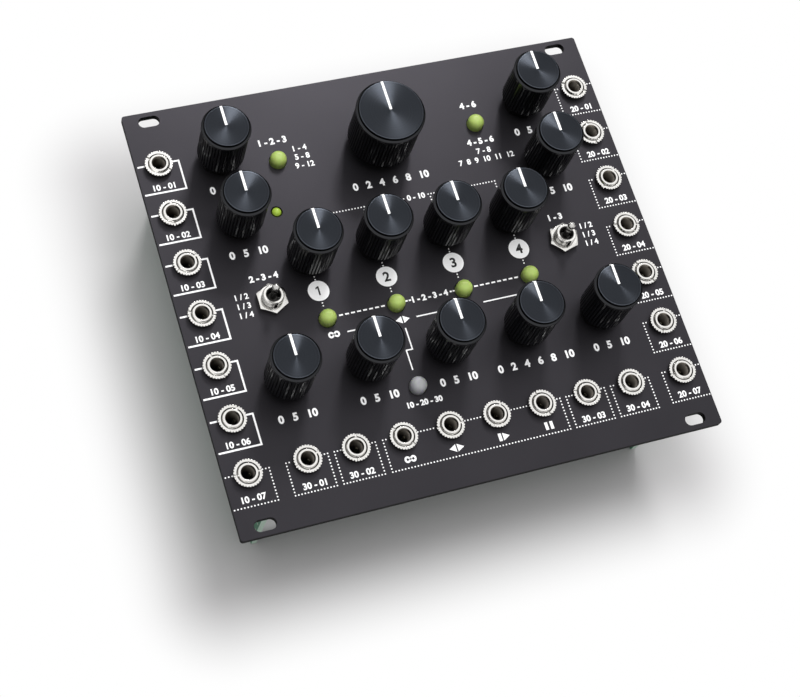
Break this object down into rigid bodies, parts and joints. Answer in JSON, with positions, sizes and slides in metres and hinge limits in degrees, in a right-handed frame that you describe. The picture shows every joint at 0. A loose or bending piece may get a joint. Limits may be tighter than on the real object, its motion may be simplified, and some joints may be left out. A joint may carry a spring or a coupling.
{
  "type": "echo module",
  "caption": "Rack echo module: flat panel with fluted knobs, round push buttons, toggle switches, patch sockets and a light, on stacked circuit boards.",
  "frame": {"origin": "centre of the bounding box at its bottom, on the rear edges of the two standing boards", "axes": "+Z out of the panel's face, +Y towards the panel's top edge, +X to the right seen from the front"},
  "size_m": [0.142, 0.1284, 0.0597],
  "materials": {
    "panel_paint": "matte dark grey paint on sheet aluminium",
    "nickel": "plated brass, slightly warm",
    "knob_black": "black anodised, turned",
    "button_lime": "satin translucent plastic",
    "button_grey": "satin plastic",
    "black_moulding": "black moulded plastic",
    "control_moulding": "moulded plastic",
    "toggle_moulding": "red moulded plastic",
    "terminal_metal": "tinned strip",
    "light_lens": "diffuse green lens",
    "circuit_board": "green solder mask on glass laminate",
    "chip_moulding": "black moulded package",
    "capacitor_can": "bright can"
  },
  "bodies": {
    "module": {"front_panel": "panel_paint", "socket_bodies": "black_moulding", "socket_terminals": "terminal_metal", "socket_bushings": "nickel", "socket_nuts": "nickel", "pot_bodies": "control_moulding", "pot_bushings": "nickel", "pot_washers": "nickel", "pot_nuts": "nickel", "switch_housings": "black_moulding", "toggle_bodies": "toggle_moulding", "toggle_bushings": "nickel", "toggle_nuts": "nickel", "level_light": "light_lens", "control_board": "circuit_board", "left_board": "circuit_board", "right_board": "circuit_board", "board_links": "black_moulding", "power_header": "black_moulding", "power_pins": "terminal_metal", "processor": "chip_moulding", "audio_chips": "chip_moulding", "capacitors": "capacitor_can"},
    "control_main": {"knob_main": "knob_black", "shaft_main": "nickel"},
    "control_level_1": {"knob_level_1": "knob_black", "shaft_level_1": "nickel"},
    "control_level_2": {"knob_level_2": "knob_black", "shaft_level_2": "nickel"},
    "control_level_3": {"knob_level_3": "knob_black", "shaft_level_3": "nickel"},
    "control_level_4": {"knob_level_4": "knob_black", "shaft_level_4": "nickel"},
    "control_lower_1": {"knob_lower_1": "knob_black", "shaft_lower_1": "nickel"},
    "control_lower_2": {"knob_lower_2": "knob_black", "shaft_lower_2": "nickel"},
    "control_lower_3": {"knob_lower_3": "knob_black", "shaft_lower_3": "nickel"},
    "control_lower_4": {"knob_lower_4": "knob_black", "shaft_lower_4": "nickel"},
    "control_lower_5": {"knob_lower_5": "knob_black", "shaft_lower_5": "nickel"},
    "control_left_upper": {"knob_left_upper": "knob_black", "shaft_left_upper": "nickel"},
    "control_left_lower": {"knob_left_lower": "knob_black", "shaft_left_lower": "nickel"},
    "control_right_upper": {"knob_right_upper": "knob_black", "shaft_right_upper": "nickel"},
    "control_right_lower": {"knob_right_lower": "knob_black", "shaft_right_lower": "nickel"},
    "push_top_left": {"button_top_left": "button_lime"},
    "push_top_right": {"button_top_right": "button_lime"},
    "push_middle_1": {"button_middle_1": "button_lime"},
    "push_middle_2": {"button_middle_2": "button_lime"},
    "push_middle_3": {"button_middle_3": "button_lime"},
    "push_middle_4": {"button_middle_4": "button_lime"},
    "push_grey": {"button_grey": "button_grey"},
    "toggle_left": {"lever_left": "nickel"},
    "toggle_right": {"lever_right": "nickel"}
  },
  "joints": [
    {"name": "turn_main", "type": "hinge", "parent": "module", "child": "control_main", "pos_m": [0, 0.0412, 0.04], "axis": [0, 0, 1], "range_deg": [-150, 150]},
    {"name": "turn_level_1", "type": "hinge", "parent": "module", "child": "control_level_1", "pos_m": [-0.0306, 0.0102, 0.04], "axis": [0, 0, 1], "range_deg": [-150, 150]},
    {"name": "turn_level_2", "type": "hinge", "parent": "module", "child": "control_level_2", "pos_m": [-0.0102, 0.0102, 0.04], "axis": [0, 0, 1], "range_deg": [-150, 150]},
    {"name": "turn_level_3", "type": "hinge", "parent": "module", "child": "control_level_3", "pos_m": [0.0102, 0.0102, 0.04], "axis": [0, 0, 1], "range_deg": [-150, 150]},
    {"name": "turn_level_4", "type": "hinge", "parent": "module", "child": "control_level_4", "pos_m": [0.0306, 0.0102, 0.04], "axis": [0, 0, 1], "range_deg": [-150, 150]},
    {"name": "turn_lower_1", "type": "hinge", "parent": "module", "child": "control_lower_1", "pos_m": [-0.047, -0.024, 0.04], "axis": [0, 0, 1], "range_deg": [-150, 150]},
    {"name": "turn_lower_2", "type": "hinge", "parent": "module", "child": "control_lower_2", "pos_m": [-0.0235, -0.024, 0.04], "axis": [0, 0, 1], "range_deg": [-150, 150]},
    {"name": "turn_lower_3", "type": "hinge", "parent": "module", "child": "control_lower_3", "pos_m": [0, -0.024, 0.04], "axis": [0, 0, 1], "range_deg": [-150, 150]},
    {"name": "turn_lower_4", "type": "hinge", "parent": "module", "child": "control_lower_4", "pos_m": [0.0235, -0.024, 0.04], "axis": [0, 0, 1], "range_deg": [-150, 150]},
    {"name": "turn_lower_5", "type": "hinge", "parent": "module", "child": "control_lower_5", "pos_m": [0.047, -0.024, 0.04], "axis": [0, 0, 1], "range_deg": [-150, 150]},
    {"name": "turn_left_upper", "type": "hinge", "parent": "module", "child": "control_left_upper", "pos_m": [-0.0469, 0.0457, 0.04], "axis": [0, 0, 1], "range_deg": [-150, 150]},
    {"name": "turn_left_lower", "type": "hinge", "parent": "module", "child": "control_left_lower", "pos_m": [-0.0469, 0.0252, 0.04], "axis": [0, 0, 1], "range_deg": [-150, 150]},
    {"name": "turn_right_upper", "type": "hinge", "parent": "module", "child": "control_right_upper", "pos_m": [0.0469, 0.0457, 0.04], "axis": [0, 0, 1], "range_deg": [-150, 150]},
    {"name": "turn_right_lower", "type": "hinge", "parent": "module", "child": "control_right_lower", "pos_m": [0.0469, 0.0252, 0.04], "axis": [0, 0, 1], "range_deg": [-150, 150]},
    {"name": "press_top_left", "type": "slide", "parent": "module", "child": "push_top_left", "axis": [0, 0, -1], "range_m": [0, 0.0008], "stiffness_N_per_m": 1500, "springref_m": -0.0003},
    {"name": "press_top_right", "type": "slide", "parent": "module", "child": "push_top_right", "axis": [0, 0, -1], "range_m": [0, 0.0008], "stiffness_N_per_m": 1500, "springref_m": -0.0003},
    {"name": "press_middle_1", "type": "slide", "parent": "module", "child": "push_middle_1", "axis": [0, 0, -1], "range_m": [0, 0.0008], "stiffness_N_per_m": 1500, "springref_m": -0.0003},
    {"name": "press_middle_2", "type": "slide", "parent": "module", "child": "push_middle_2", "axis": [0, 0, -1], "range_m": [0, 0.0008], "stiffness_N_per_m": 1500, "springref_m": -0.0003},
    {"name": "press_middle_3", "type": "slide", "parent": "module", "child": "push_middle_3", "axis": [0, 0, -1], "range_m": [0, 0.0008], "stiffness_N_per_m": 1500, "springref_m": -0.0003},
    {"name": "press_middle_4", "type": "slide", "parent": "module", "child": "push_middle_4", "axis": [0, 0, -1], "range_m": [0, 0.0008], "stiffness_N_per_m": 1500, "springref_m": -0.0003},
    {"name": "press_grey", "type": "slide", "parent": "module", "child": "push_grey", "axis": [0, 0, -1], "range_m": [0, 0.0008], "stiffness_N_per_m": 1500, "springref_m": -0.0003},
    {"name": "flip_left", "type": "hinge", "parent": "module", "child": "toggle_left", "pos_m": [-0.0443, 0.0001, 0.04065], "axis": [1, 0, 0], "range_deg": [-12, 12]},
    {"name": "flip_right", "type": "hinge", "parent": "module", "child": "toggle_right", "pos_m": [0.0443, 0.0001, 0.04065], "axis": [1, 0, 0], "range_deg": [-12, 12]}
  ]
}
